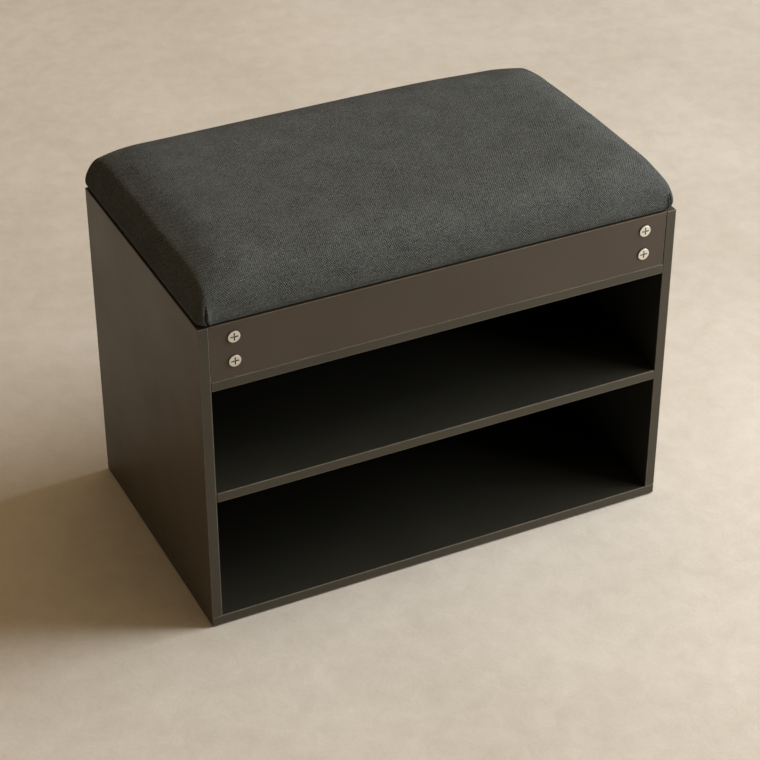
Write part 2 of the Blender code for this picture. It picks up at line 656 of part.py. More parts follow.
# ---------------------------------------------------------------- assembly
def build():
    global parts, cutters
    clear_scene()
    parts = add_collection("entryway_bench")
    cutters = add_collection("cutters")
    board = make_material("faced_board", (0.085, 0.072, 0.058), 0.55)
    board_inside = make_material("hardboard", (0.06, 0.052, 0.043), 0.7)
    pine = make_material("pine", (0.55, 0.38, 0.22), 0.7)
    beech = make_material("beech", (0.62, 0.45, 0.28), 0.6)
    zinc = make_material("zinc", (0.62, 0.59, 0.54), 0.35, 1.0)
    steel = make_material("steel", (0.45, 0.44, 0.42), 0.4, 1.0)
    rubber = make_material("rubber", (0.03, 0.03, 0.03), 0.9)
    fabric = make_material("linen", (0.055, 0.058, 0.054), 0.95)
    foam = make_material("foam", (0.75, 0.70, 0.55), 0.9)
    chipboard = make_material("chipboard", (0.45, 0.33, 0.21), 0.8)
    dust_cloth = make_material("dust_cloth", (0.02, 0.02, 0.02), 0.95)

    made = carcass_boards(board)
    back_panel(made, board_inside)
    shelf_pins(made, steel)
    dowels(made, beech)
    base_screws(made, steel)
    glides(rubber)
    corner_blocks(made, pine, steel)
    rail_bolts(made, zinc, steel)
    lid = upholstered_lid(fabric, foam, chipboard, dust_cloth, rubber)
    hinges(made, lid, steel)


build()
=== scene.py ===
import math

import bmesh
import bpy
import numpy as np
from mathutils import Matrix, Vector, kdtree, noise
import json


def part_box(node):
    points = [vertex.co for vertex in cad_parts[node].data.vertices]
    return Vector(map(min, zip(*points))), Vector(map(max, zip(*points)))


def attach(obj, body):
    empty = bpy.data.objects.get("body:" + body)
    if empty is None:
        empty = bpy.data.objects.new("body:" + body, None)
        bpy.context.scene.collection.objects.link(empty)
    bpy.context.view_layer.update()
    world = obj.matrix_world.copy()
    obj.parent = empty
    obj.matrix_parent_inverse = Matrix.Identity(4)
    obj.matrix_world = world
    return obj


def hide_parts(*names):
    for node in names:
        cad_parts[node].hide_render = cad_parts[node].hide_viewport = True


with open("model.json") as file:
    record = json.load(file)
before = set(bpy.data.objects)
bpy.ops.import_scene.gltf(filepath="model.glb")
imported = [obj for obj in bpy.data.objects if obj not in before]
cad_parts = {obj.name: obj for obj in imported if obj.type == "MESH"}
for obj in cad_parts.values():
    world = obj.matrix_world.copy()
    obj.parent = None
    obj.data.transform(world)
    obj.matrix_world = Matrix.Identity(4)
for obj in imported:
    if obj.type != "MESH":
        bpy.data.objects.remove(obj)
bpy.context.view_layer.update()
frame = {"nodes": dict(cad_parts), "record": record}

# Units are metres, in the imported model's frame: +Z up, +X right, the open bays face -Y.

# ---------------------------------------------------------------- camera and light
CAMERA_PLACE = Vector((-1.0128, -2.0830, 1.7004))
CAMERA_AZIMUTH = math.radians(-26.01)
CAMERA_ELEVATION = math.radians(33.76)
CAMERA_LENS = 106.74

KEY_AZIMUTH = math.radians(12)              # from +X towards the front
KEY_ELEVATION = math.radians(36)
KEY_DISTANCE = 7.0
KEY_SIZE = (3.6, 3.2)
KEY_POWER = 517.0
KEY_COLOR = (0.933, 0.965, 1.0)
FILL_PLACE = Vector((1.0, -0.75, 0.66))     # a near lamp at the right front
FILL_TARGET = Vector((0.0, 0.0, 0.2))
FILL_SIZE = 0.4
FILL_POWER = 5.4
CEILING_AXIS = Vector((0.28, 0.0, 0.96))    # where the room's soft light is strongest
CEILING_COLOR = (1.0, 0.69, 0.39)
WALL_COLOR = (0.03, 0.027, 0.018)           # and its light from the horizon
CEILING_SPREAD = 4.0                        # the higher, the more the light keeps to that axis
BACKDROP_COLOR = (0.60, 0.545, 0.46)        # what the camera sees past the floor
FLOOR_REACH = 8.0                           # from the bench to the floor's edges

# ---------------------------------------------------------------- seat
seat_low, seat_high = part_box("seat_cover")
SIDE_BULGE = 0.0022             # how far the padding stands proud of the CAD solid
FRONT_BULGE = 0.0035
BACK_BULGE = 0.0056
WIDEST_ABOVE_RIM = 0.0093
CREST_RUN = 0.0155              # the tight roll at the edge, from the widest line inwards
CREST_RISE = 0.0320
SHOULDER_RUN = 0.068            # the soft slope behind it, up to the flat of the top
SHOULDER_RISE = 0.0173
RIM_INSET = 0.0026
RIM_RADIUS = 0.0028
CORNER_RADIUS = 0.012
CORNER_DROOP_REACH = 0.1165
CORNER_DROOP = {(-1, 1): -0.0006, (1, 1): 0.0073}      # how far the rear corners sink, by their signs
SEAT_SHIFT = -0.0012            # the cover sits a little to the left on its board
HEM_WIDTH = 0.0163
CLOTH_THICKNESS = 0.0012
COVER_SPACING = 0.0046          # between the points of each mesh, on its flat parts
FOAM_SPACING = 0.012
SWELL_SPACING = 0.010

seat_half_x = (seat_high.x - seat_low.x) / 2 + SIDE_BULGE
seat_front = seat_low.y - FRONT_BULGE
seat_back = seat_high.y + BACK_BULGE
seat_half_y = (seat_back - seat_front) / 2
seat_middle_y = (seat_back + seat_front) / 2
seat_rim = seat_low.z
seat_widest = seat_rim + WIDEST_ABOVE_RIM

# pleats, one fold at each end of the front and of the back
PLEAT_INSET = 0.0095            # from the side of the seat, at the rim
PLEAT_LEAN = 0.0025             # how far the fold leans to the corner as it rises
PLEAT_HEIGHT = 0.024
PLEAT_LIP = 0.0017              # height and width of the fold's raised lip
PLEAT_LIP_WIDTH = 0.0014
PLEAT_LIP_SETBACK = 0.0024      # from the fold's line to the lip's middle
PLEAT_GROOVE = 0.0032           # depth and width of the groove behind it
PLEAT_GROOVE_WIDTH = 0.0012
PLEAT_OVERLAP = 0.6             # the doubled cloth past the groove, as a share of the lip
PLEAT_REACH = 0.004             # the mesh is finer this far to both sides of the fold
PLEAT_STEP = 0.00055
PLEAT_MARGIN = 0.0004

# ---------------------------------------------------------------- node materials
FLAT_FACE = 0.95                # a face is flat when its normal is this much along one axis
INSIDE_BOTTOM = 0.010           # level faces between these heights are inside the bench
INSIDE_TOP = 0.400
SIDE_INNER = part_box("right_side_panel")[0].x - 0.0001
RAIL_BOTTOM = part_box("front_rail")[0].z
RECESS_REACH = 0.0035           # how near its walls a recess in metal is painted dark as shade


class Shader:
    """A node material being built. Each method adds one node and returns its output socket."""

    def __init__(self, name, **sockets):
        self.material = bpy.data.materials.new(name)
        self.material.use_nodes = True
        self.tree = self.material.node_tree
        self.surface = self.tree.nodes["Principled BSDF"]
        for label, value in sockets.items():
            self.surface.inputs[label.replace("_", " ")].default_value = value
        self.space = self.node("ShaderNodeTexCoord").outputs["Object"]

    def node(self, kind, **values):
        made = self.tree.nodes.new(kind)
        for label, value in values.items():
            setattr(made, label, value)
        return made

    def feed(self, socket, value):
        if isinstance(value, bpy.types.NodeSocket):
            self.tree.links.new(value, socket)
        else:
            socket.default_value = value

    def link(self, label, value):
        self.feed(self.surface.inputs[label], value)

    def stretch(self, scale, vector=None):
        node = self.node("ShaderNodeVectorMath", operation="MULTIPLY")
        self.feed(node.inputs[0], vector or self.space)
        node.inputs[1].default_value = scale
        return node.outputs[0]

    def noise(self, scale, detail=2.0, roughness=0.5, vector=None, distortion=0.0):
        node = self.node("ShaderNodeTexNoise")
        self.feed(node.inputs["Vector"], vector or self.space)
        node.inputs["Scale"].default_value = scale
        node.inputs["Detail"].default_value = detail
        node.inputs["Roughness"].default_value = roughness
        node.inputs["Distortion"].default_value = distortion
        return node.outputs["Fac"]

    def cells(self, scale, vector=None, output="Distance"):
        node = self.node("ShaderNodeTexVoronoi")
        self.feed(node.inputs["Vector"], vector or self.space)
        node.inputs["Scale"].default_value = scale
        return node.outputs[output]

    def math(self, operation, first, second=0.0, clamp=False):
        node = self.node("ShaderNodeMath", operation=operation, use_clamp=clamp)
        self.feed(node.inputs[0], first)
        self.feed(node.inputs[1], second)
        return node.outputs[0]

    def mixture(self, *shares):
        """Weighted sum of (value, weight) pairs."""
        total = 0.0
        for value, weight in shares:
            total = self.math("ADD", self.math("MULTIPLY", value, weight), total)
        return total

    def spread(self, value, low, high, to_low=0.0, to_high=1.0):
        node = self.node("ShaderNodeMapRange")
        self.feed(node.inputs["Value"], value)
        ends = {"From Min": low, "From Max": high, "To Min": to_low, "To Max": to_high}
        for label, number in ends.items():
            node.inputs[label].default_value = number
        return node.outputs["Result"]

    def blend(self, factor, first, second, mode="MIX"):
        node = self.node("ShaderNodeMix", data_type="RGBA", blend_type=mode)
        self.feed(node.inputs["Factor"], factor)
        self.feed(node.inputs["A"], self.opaque(first))
        self.feed(node.inputs["B"], self.opaque(second))
        return node.outputs["Result"]

    @staticmethod
    def opaque(color):
        return color if isinstance(color, bpy.types.NodeSocket) else (*color, 1.0)

    def bump(self, height, distance, strength=1.0):
        node = self.node("ShaderNodeBump")
        node.inputs["Strength"].default_value = strength
        node.inputs["Distance"].default_value = distance
        self.feed(node.inputs["Height"], height)
        self.link("Normal", node.outputs[0])

    def board_faces(self):
        """Masks of the carcass boards' flat faces: those that look inwards, and the banded edges."""
        split = [self.node("ShaderNodeSeparateXYZ"), self.node("ShaderNodeSeparateXYZ")]
        self.feed(split[0].inputs[0], self.node("ShaderNodeTexCoord").outputs["Normal"])
        self.feed(split[1].inputs[0], self.space)
        flat, inward, width = {}, {}, {}
        for axis in "XYZ":
            way, place = split[0].outputs[axis], split[1].outputs[axis]
            flat[axis] = self.math("GREATER_THAN", self.math("ABSOLUTE", way), FLAT_FACE)
            inward[axis] = self.math("LESS_THAN", self.math("MULTIPLY", way, place), 0.0)
            width[axis] = self.math("ABSOLUTE", place)
        height = split[1].outputs["Z"]
        level = self.math("MULTIPLY", self.math("GREATER_THAN", height, INSIDE_BOTTOM),
                          self.math("LESS_THAN", height, INSIDE_TOP))
        inside = self.math("MULTIPLY", flat["Z"], level)
        for axis in "XY":
            inside = self.math("ADD", inside, self.math("MULTIPLY", flat[axis], inward[axis]), True)
        not_rail = self.math("MAXIMUM", self.math("GREATER_THAN", width["X"], SIDE_INNER),
                             self.math("LESS_THAN", height, RAIL_BOTTOM))
        band = self.math("MULTIPLY", self.math("MULTIPLY", flat["Y"], not_rail),
                         self.math("SUBTRACT", 1.0, inward["Y"]))
        return inside, band

    def arris(self, radius, low, high):
        """1 along convex edges and 0 on the flats, from how far a rounded normal turns away."""
        rounded = self.node("ShaderNodeBevel", samples=4)
        rounded.inputs["Radius"].default_value = radius
        flat = self.node("ShaderNodeNewGeometry")
        turn = self.node("ShaderNodeVectorMath", operation="DOT_PRODUCT")
        self.feed(turn.inputs[0], rounded.outputs[0])
        self.feed(turn.inputs[1], flat.outputs["True Normal"])
        return self.spread(turn.outputs["Value"], 1 - low, 1 - high)


BOARD_COLORS = ((0.0655, 0.0490, 0.0339), (0.0780, 0.0590, 0.0414))
# painted shade: darker, greyer colours for the faces inside the bench
INSIDE_SHADE_COLORS = ((0.0200, 0.0202, 0.0150), (0.0254, 0.0254, 0.0192))
# painted highlight for the boards' convex arrises
ARRIS_HIGHLIGHT_COLOR = (0.40, 0.36, 0.30)
EDGE_TINT = (0.78, 0.88, 0.86)


def faced_board():
    """Matt melamine with a soft print, fine pores and a painted highlight along its arrises.

    The faces that look into the bays and the compartment are painted darker and greyer, as painted
    shade, and the boards' front and rear edges have a band of slightly greener tone.
    """
    shader = Shader("faced_board", Roughness=0.40, Specular_IOR_Level=0.38)
    cloud = shader.noise(7.0, 4.0, 0.55)
    print_dots = shader.noise(520.0, 2.0)
    tone = shader.spread(shader.mixture((cloud, 0.7), (print_dots, 0.3)), 0.35, 0.65)
    inside, band = shader.board_faces()
    color = shader.blend(tone, *BOARD_COLORS)
    color = shader.blend(band, color, shader.blend(1.0, color, EDGE_TINT, "MULTIPLY"))
    # painted shade: the faces inside the bays and the compartment take darker, greyer colours
    color = shader.blend(inside, color, shader.blend(tone, *INSIDE_SHADE_COLORS))
    # painted highlight: a lighter colour along the convex arrises, broken into patches by noise
    highlight_patches = shader.noise(60.0, 3.0, 0.6)
    highlight_share = shader.spread(highlight_patches, 0.35, 0.65, 0.55, 1.0)
    arris_highlight = shader.math("MULTIPLY", shader.arris(0.0014, 0.01, 0.14), highlight_share)
    shader.link("Base Color", shader.blend(arris_highlight, color, ARRIS_HIGHLIGHT_COLOR))
    smudge = shader.noise(11.0, 5.0, 0.6)
    shader.link("Roughness", shader.spread(smudge, 0.3, 0.7, 0.37, 0.45))
    pores = shader.cells(1600.0)
    pearl = shader.noise(700.0, 3.0)
    shader.bump(shader.mixture((pearl, 1.0), (pores, 0.35)), 0.00008, 0.55)
    return shader.material


def hardboard():
    """Dark-faced fibreboard with a fine mottled surface."""
    shader = Shader("hardboard", Roughness=0.72, Specular_IOR_Level=0.3)
    fibres = shader.noise(1.0, 4.0, 0.6, shader.stretch((260.0, 260.0, 90.0)))
    cloud = shader.noise(14.0, 3.0)
    tone = shader.mixture((fibres, 0.6), (cloud, 0.4))
    shader.link("Base Color", shader.blend(shader.spread(tone, 0.35, 0.65), (0.070, 0.060, 0.049),
                                           (0.100, 0.086, 0.070)))
    shader.link("Roughness", shader.spread(fibres, 0.3, 0.7, 0.66, 0.80))
    shader.bump(fibres, 0.00015, 0.6)
    return shader.material


def chipboard():
    """Pressed wood flakes of mixed tone."""
    shader = Shader("chipboard", Roughness=0.85, Specular_IOR_Level=0.25)
    flakes = shader.cells(1.0, shader.stretch((230.0, 160.0, 420.0)), "Color")
    shade = shader.node("ShaderNodeSeparateColor")
    shader.feed(shade.inputs[0], flakes)
    dust = shader.noise(900.0, 2.0)
    tone = shader.mixture((shade.outputs[0], 0.7), (dust, 0.3))
    shader.link("Base Color", shader.blend(tone, (0.30, 0.19, 0.10), (0.55, 0.40, 0.25)))
    shader.link("Roughness", shader.spread(dust, 0.3, 0.7, 0.78, 0.92))
    shader.bump(tone, 0.0003, 0.7)
    return shader.material


def timber(name, early, late, rings, axis):
    """Wood with growth rings drawn out along one axis and short dark flecks."""
    shader = Shader(name, Roughness=0.6, Specular_IOR_Level=0.35)
    squeeze = [rings, rings, rings]
    squeeze[axis] = rings * 0.06
    grain = shader.noise(1.0, 3.0, 0.5, shader.stretch(squeeze), 0.6)
    bands = shader.math("FRACT", shader.math("MULTIPLY", grain, 7.0))
    fleck_scale = [2200.0, 2200.0, 2200.0]
    fleck_scale[axis] = 140.0
    flecks = shader.noise(1.0, 2.0, 0.6, shader.stretch(fleck_scale))
    tone = shader.mixture((bands, 0.65), (flecks, 0.35))
    shader.link("Base Color", shader.blend(tone, early, late))
    shader.link("Roughness", shader.spread(flecks, 0.3, 0.7, 0.5, 0.72))
    shader.bump(flecks, 0.0001, 0.6)
    return shader.material


def metal(name, color, roughness, brush):
    """Plated steel: cloudy plating, fine tumbling marks, small dull spots and painted shade in the
    recesses.
    """
    shader = Shader(name)
    cloud = shader.noise(160.0, 4.0, 0.6)
    spots = shader.spread(shader.cells(900.0), 0.0, 0.35, 1.0, 0.0)
    marks = shader.noise(1.0, 3.0, 0.7, shader.stretch(brush))
    dull = tuple(part * 0.72 for part in color)
    tone = shader.mixture((cloud, 0.8), (spots, 0.2))
    # painted shade: recesses found by an occlusion test are drawn dark and not metallic
    hollow = shader.node("ShaderNodeAmbientOcclusion", samples=8)
    hollow.inputs["Distance"].default_value = RECESS_REACH
    open_part = shader.spread(hollow.outputs["AO"], 0.68, 0.90)
    plated = shader.blend(shader.spread(tone, 0.3, 0.8), color, dull)
    shader.link("Base Color", shader.blend(open_part, (0.045, 0.037, 0.028), plated))
    shader.link("Metallic", open_part)
    shader.link("Roughness", shader.spread(marks, 0.25, 0.75, roughness - 0.08, roughness + 0.14))
    shader.bump(marks, 0.00004, 0.5)
    return shader.material


def rubber():
    """Black rubber with a bloom of pale dust."""
    shader = Shader("rubber", Roughness=0.8, Specular_IOR_Level=0.3)
    dust = shader.noise(700.0, 3.0, 0.6)
    shader.link("Base Color", shader.blend(shader.spread(dust, 0.45, 0.75), (0.022, 0.021, 0.020),
                                           (0.065, 0.060, 0.054)))
    shader.link("Roughness", shader.spread(dust, 0.3, 0.7, 0.7, 0.95))
    shader.bump(dust, 0.00012, 0.7)
    return shader.material


def foam():
    """Open-cell foam: pores in a pale, slightly yellowed body."""
    shader = Shader("foam", Roughness=0.95, Specular_IOR_Level=0.2)
    pores = shader.cells(900.0)
    age = shader.noise(12.0, 3.0)
    body = shader.blend(age, (0.72, 0.66, 0.48), (0.80, 0.76, 0.62))
    shader.link("Base Color", shader.blend(shader.spread(pores, 0.0, 0.25), (0.40, 0.35, 0.24), body))
    shader.link("Roughness", shader.spread(pores, 0.0, 0.5, 0.98, 0.86))
    shader.bump(pores, 0.0006, 0.9)
    return shader.material


def dust_cloth():
    """Black non-woven cloth: matted fibres and a grid of small welded dots."""
    shader = Shader("dust_cloth", Roughness=0.92, Specular_IOR_Level=0.25)
    matted = shader.noise(1.0, 4.0, 0.7, shader.stretch((900.0, 700.0, 900.0)), 1.5)
    dots = shader.spread(shader.cells(560.0), 0.10, 0.30)
    height = shader.math("MULTIPLY", shader.math("ADD", matted, 0.4), dots)
    shader.link("Base Color", shader.blend(height, (0.012, 0.012, 0.012), (0.050, 0.048, 0.046)))
    shader.link("Roughness", shader.spread(dots, 0.0, 1.0, 0.6, 0.95))
    shader.bump(height, 0.00025, 0.8)
    return shader.material


WARP = 0.00125                  # from one warp thread to the next
WEFT = 0.00170
YARN_COLORS = ((0.0262, 0.0283, 0.0272), (0.224, 0.240, 0.231))
GAP_COLOR = (0.016, 0.017, 0.017)
WARP_OVER_WEFT = 0.48           # how much lighter a thread of the warp is than one of the weft
SLUB = 1.1                      # how strongly slubs and wide patches change the yarn's tone
PATCH = 0.45


def linen():
    """Heathered plain weave, laid along the attribute that follows the cloth round its edges.

    Every thread has a tone of its own that drifts along it, and slubs make the weave uneven.
    """
    shader = Shader("linen", Roughness=0.9, Specular_IOR_Level=0.02)
    cloth = shader.node("ShaderNodeAttribute", attribute_name="cloth_place").outputs["Vector"]
    parts = shader.node("ShaderNodeSeparateXYZ")
    shader.feed(parts.inputs[0], cloth)

    def uneven(scale, detail, roughness, strength):
        """Noise over the cloth, about zero."""
        lift = shader.math("SUBTRACT", shader.noise(scale, detail, roughness, cloth), 0.5)
        return shader.math("MULTIPLY", lift, strength)

    def thread_tone(number, run, span):
        """A tone for each thread, which drifts along the thread's run."""
        place = shader.node("ShaderNodeCombineXYZ")
        shader.feed(place.inputs[0], shader.math("MULTIPLY", shader.math("FLOOR", number), 7.31))
        shader.feed(place.inputs[1], shader.math("MULTIPLY", run, span))
        return shader.noise(1.0, 2.0, 0.6, place.outputs[0])

    def ridges(number):
        """One ridge to each thread, up and down in turn."""
        return shader.math("SINE", shader.math("MULTIPLY", number, math.pi))

    sway, drift = uneven(70.0, 2.0, 0.5, 2 * WARP), uneven(90.0, 2.0, 0.5, 1.5 * WEFT)
    across = shader.math("DIVIDE", shader.math("ADD", parts.outputs["X"], sway), WARP)
    along = shader.math("DIVIDE", shader.math("ADD", parts.outputs["Y"], drift), WEFT)
    crossing = shader.math("MULTIPLY", ridges(across), ridges(along))
    over = shader.spread(crossing, -0.2, 0.2)
    under = shader.math("SUBTRACT", 1.0, over)
    warp_tone, weft_tone = thread_tone(across, along, 0.20), thread_tone(along, across, 0.16)
    lit = shader.math("MULTIPLY", shader.math("SUBTRACT", over, 0.5), WARP_OVER_WEFT)
    slub, patch = uneven(380.0, 3.0, 0.65, SLUB), uneven(24.0, 4.0, 0.6, PATCH)
    tone = shader.mixture((warp_tone, over), (weft_tone, under), (lit, 1.0), (slub, 1.0), (patch, 1.0))
    yarn = shader.blend(shader.spread(tone, 0.0, 1.0), *YARN_COLORS)
    body = shader.math("ABSOLUTE", crossing)
    gap = shader.spread(body, 0.0, 0.35, 0.75, 0.0)
    shader.link("Base Color", shader.blend(gap, yarn, GAP_COLOR))
    fuzz = shader.noise(2600.0, 2.0, 0.6, cloth)
    shader.link("Roughness", shader.spread(fuzz, 0.3, 0.7, 0.82, 0.96))
    thread = shader.mixture((crossing, 0.6), (body, 1.0))
    height = shader.mixture((thread, shader.spread(tone, 0.0, 1.0, 0.6, 1.4)), (fuzz, 0.25))
    shader.bump(height, 0.0005, 0.9)
    return shader.material


def floor_paint():
    """Trowelled plaster-like floor: large soft clouds, fine mottling and a fine grain."""
    shader = Shader("floor_paint", Roughness=0.6, Specular_IOR_Level=0.25)
    cloud = shader.noise(2.6, 5.0, 0.6)
    mottle = shader.noise(30.0, 4.0, 0.65, distortion=0.4)
    grain = shader.noise(260.0, 2.0, 0.6)
    tone = shader.mixture((cloud, 0.50), (mottle, 0.32), (grain, 0.18))
    shader.link("Base Color", shader.blend(shader.spread(tone, 0.36, 0.64), (0.565, 0.526, 0.452),
                                           (0.690, 0.650, 0.575)))
    shader.link("Roughness", shader.spread(mottle, 0.3, 0.7, 0.55, 0.7))
    shader.bump(shader.mixture((mottle, 1.0), (grain, 0.2)), 0.002, 0.25)
    return shader.material


# ---------------------------------------------------------------- CAD nodes that are shown as they are
def finish_cad_nodes():
    """Give every CAD node that stays its record slot's material."""
    pale = (0.83, 0.80, 0.74)
    looks = {
        "faced_board": faced_board(),
        "hardboard": hardboard(),
        "chipboard": chipboard(),
        "pine": timber("pine", (0.62, 0.43, 0.25), (0.48, 0.29, 0.14), 60.0, 2),
        "beech": timber("beech", (0.60, 0.42, 0.26), (0.47, 0.30, 0.17), 90.0, 0),
        "zinc_plate": metal("zinc_plate", pale, 0.38, (900.0, 900.0, 900.0)),
        "steel": metal("steel", (0.56, 0.55, 0.53), 0.36, (200.0, 2600.0, 2600.0)),
        "rubber": rubber(),
        "dust_cloth": dust_cloth(),
        "foam": foam(),
        "linen": linen(),
    }
    for entry in frame["record"]["subparts"]:
        for place in frame["nodes"][entry["node"]].material_slots:
            place.material = looks[entry["material_slot"]]
    return looks


# ---------------------------------------------------------------- seat form
def crest(inset):
    """How far up the rounded edge is, from 0 at the widest line to 1 on the flat of the top."""
    roll = np.clip(inset / CREST_RUN, 0.0, 1.0)
    shoulder = np.clip(inset / SHOULDER_RUN, 0.0, 1.0)
    climb = (CREST_RISE * np.sqrt(np.clip(2 * roll - roll ** 2, 0.0, 1.0))
             + SHOULDER_RISE * (2 * shoulder - shoulder ** 2))
    return climb / (CREST_RISE + SHOULDER_RISE)


def crest_length(inset):
    """Length of cloth from the flat of the top out to this inset."""
    steps = SHOULDER_RUN * np.linspace(0.0, 1.0, 900) ** 2
    rise = crest(steps) * (CREST_RISE + SHOULDER_RISE)
    lengths = np.concatenate(([0.0], np.cumsum(np.hypot(np.diff(steps), np.diff(rise)))))
    return lengths[-1] - np.interp(inset, steps, lengths)


def seat_columns(half, spacing, pleated):
    """Places across the top: even on the flat, and close together on the rounded edges and pleats."""
    turns = np.radians(np.linspace(0.0, 90.0, 15))
    insets = list(CREST_RUN * (1 - np.cos(turns)))
    if pleated:
        fold = np.arange(PLEAT_INSET - PLEAT_LEAN - PLEAT_REACH, PLEAT_INSET + PLEAT_REACH, PLEAT_STEP)
        start, end = fold[0] - PLEAT_MARGIN, fold[-1] + PLEAT_MARGIN
        insets = [place for place in insets if not start < place < end]
        insets = sorted([*insets, *fold])
    flat = half - CREST_RUN
    count = max(2, round(2 * flat / spacing))
    inner = np.linspace(-flat, flat, count + 1)[1:-1]
    insets = np.array(insets)
    return np.concatenate((-half + insets, inner, (half - insets)[::-1]))


def cloth_reach(place, half):
    """Where a point across the top lies on the cloth, measured along its surface."""
    flat = half - SHOULDER_RUN
    past = np.sign(place) * (flat + crest_length(half - np.abs(place)))
    return np.where(np.abs(place) <= flat, place, past)


def round_corner(x, y):
    """Round the plan's four corners; x and y are measured from the seat's middle."""
    over_x = np.clip((np.abs(x) - (seat_half_x - CORNER_RADIUS)) / CORNER_RADIUS, 0.0, 1.0)
    over_y = np.clip((np.abs(y) - (seat_half_y - CORNER_RADIUS)) / CORNER_RADIUS, 0.0, 1.0)
    pull_x = CORNER_RADIUS * over_x * (np.sqrt(1 - over_y ** 2 / 2) - 1)
    pull_y = CORNER_RADIUS * over_y * (np.sqrt(1 - over_x ** 2 / 2) - 1)
    return x + np.sign(x) * pull_x, y + np.sign(y) * pull_y


def seat_height(x, y):
    inset_x, inset_y = seat_half_x - np.abs(x), seat_half_y - np.abs(y)
    edge = crest(inset_x) * crest(inset_y)
    droop = np.zeros_like(x)
    for (side, row), depth in CORNER_DROOP.items():
        near = np.exp(-(inset_x ** 2 + inset_y ** 2) / CORNER_DROOP_REACH ** 2)
        droop += np.where((np.sign(x) == side) & (np.sign(y) == row), depth * near, 0.0)
    return seat_widest + (CREST_RISE + SHOULDER_RISE) * edge - droop * edge


def seat_mesh(name, spacing, rings, pleated=False):
    """The cloth as a crowned top and rings round its sides and underside, open in the middle below.

    Each ring is (inset, height, length of cloth below the widest line).
    """
    columns = seat_columns(seat_half_x, spacing, pleated)
    rows = seat_columns(seat_half_y, spacing, False)
    x, y = np.meshgrid(columns, rows, indexing="ij")
    plan_x, plan_y = round_corner(x, y)
    top = np.stack((plan_x, plan_y, seat_height(x, y)), -1)
    place = np.stack((cloth_reach(x, seat_half_x), cloth_reach(y, seat_half_y), np.zeros_like(x)), -1)
    width, depth = len(columns), len(rows)
    border = [(i, 0) for i in range(width - 1)]
    border += [(width - 1, j) for j in range(depth - 1)]
    border += [(i, depth - 1) for i in range(width - 1, 0, -1)]
    border += [(0, j) for j in range(depth - 1, 0, -1)]
    points = [tuple(point) for point in top.reshape(-1, 3)]
    places = [tuple(value) for value in place.reshape(-1, 3)]
    faces = [(i * depth + j, (i + 1) * depth + j, (i + 1) * depth + j + 1, i * depth + j + 1)
             for i in range(width - 1) for j in range(depth - 1)]
    previous = [i * depth + j for i, j in border]
    for inset, height, length in rings:
        current = []
        for i, j in border:
            spot = Vector(top[i, j])
            outward = Vector((x[i, j] if i in (0, width - 1) else 0.0,
                              y[i, j] if j in (0, depth - 1) else 0.0, 0.0))
            shrink_x = 1 - inset / seat_half_x
            shrink_y = 1 - inset / seat_half_y
            current.append(len(points))
            points.append((spot.x * shrink_x, spot.y * shrink_y, height))
            step = outward.normalized() * length if outward.length else Vector((0, 0, 0))
            if i in (0, width - 1) and j in (0, depth - 1):
                step = Vector((0.0, math.copysign(length, y[i, j]), 0.0))
            places.append((place[i, j, 0] + step.x, place[i, j, 1] + step.y, 0.0))
        for index in range(len(border)):
            after = (index + 1) % len(border)
            faces.append((previous[after], previous[index], current[index], current[after]))
        previous = current
    points = [(a + SEAT_SHIFT, b + seat_middle_y, c) for a, b, c in points]
    mesh = bpy.data.meshes.new(name)
    mesh.from_pydata(points, [], faces)
    attribute = mesh.attributes.new("cloth_place", "FLOAT_VECTOR", "POINT")
    attribute.data.foreach_set("vector", np.array(places, np.float32).ravel())
    mesh.update()
    return mesh, previous


def side_rings(hem):
    """Down the side to the rim, round it, and in along the underside by the hem's width."""
    rings = []
    drop = seat_widest - seat_rim
    for share in (0.25, 0.5, 0.75):
        fall = share * (drop - RIM_RADIUS)
        rings.append((RIM_INSET * share ** 2, seat_widest - fall, fall))
    for turn in (0.0, 30.0, 60.0, 90.0):
        angle = math.radians(turn)
        inset = RIM_INSET + RIM_RADIUS * (1 - math.cos(angle))
        height = seat_rim + RIM_RADIUS * (1 - math.sin(angle))
        rings.append((inset, height, drop - RIM_RADIUS + RIM_RADIUS * angle))
    reached, length = rings[-1][0], rings[-1][2]
    for share in (0.25, 0.5, 0.75, 1.0):
        run = share * hem
        rings.append((reached + run, seat_rim, length + run))
    return rings


def coordinates(mesh):
    flat = np.zeros(len(mesh.vertices) * 3, np.float32)
    mesh.vertices.foreach_get("co", flat)
    return flat.reshape(-1, 3).astype(float)


def add_object(name, mesh):
    obj = bpy.data.objects.new(name, mesh)
    bpy.context.scene.collection.objects.link(obj)
    return obj


def settled_mesh(obj):
    graph = bpy.context.evaluated_depsgraph_get()
    return bpy.data.meshes.new_from_object(obj.evaluated_get(graph))


SWELL_CAP = 0.0022              # the most that a point may move as the padding swells
SWELL_VOXEL = 0.006
SWELL_FRAMES = 20
SWELL_PRESSURE = 4.0
HELD_ABOVE_RIM = 0.004          # the cloth is tacked down up to this height


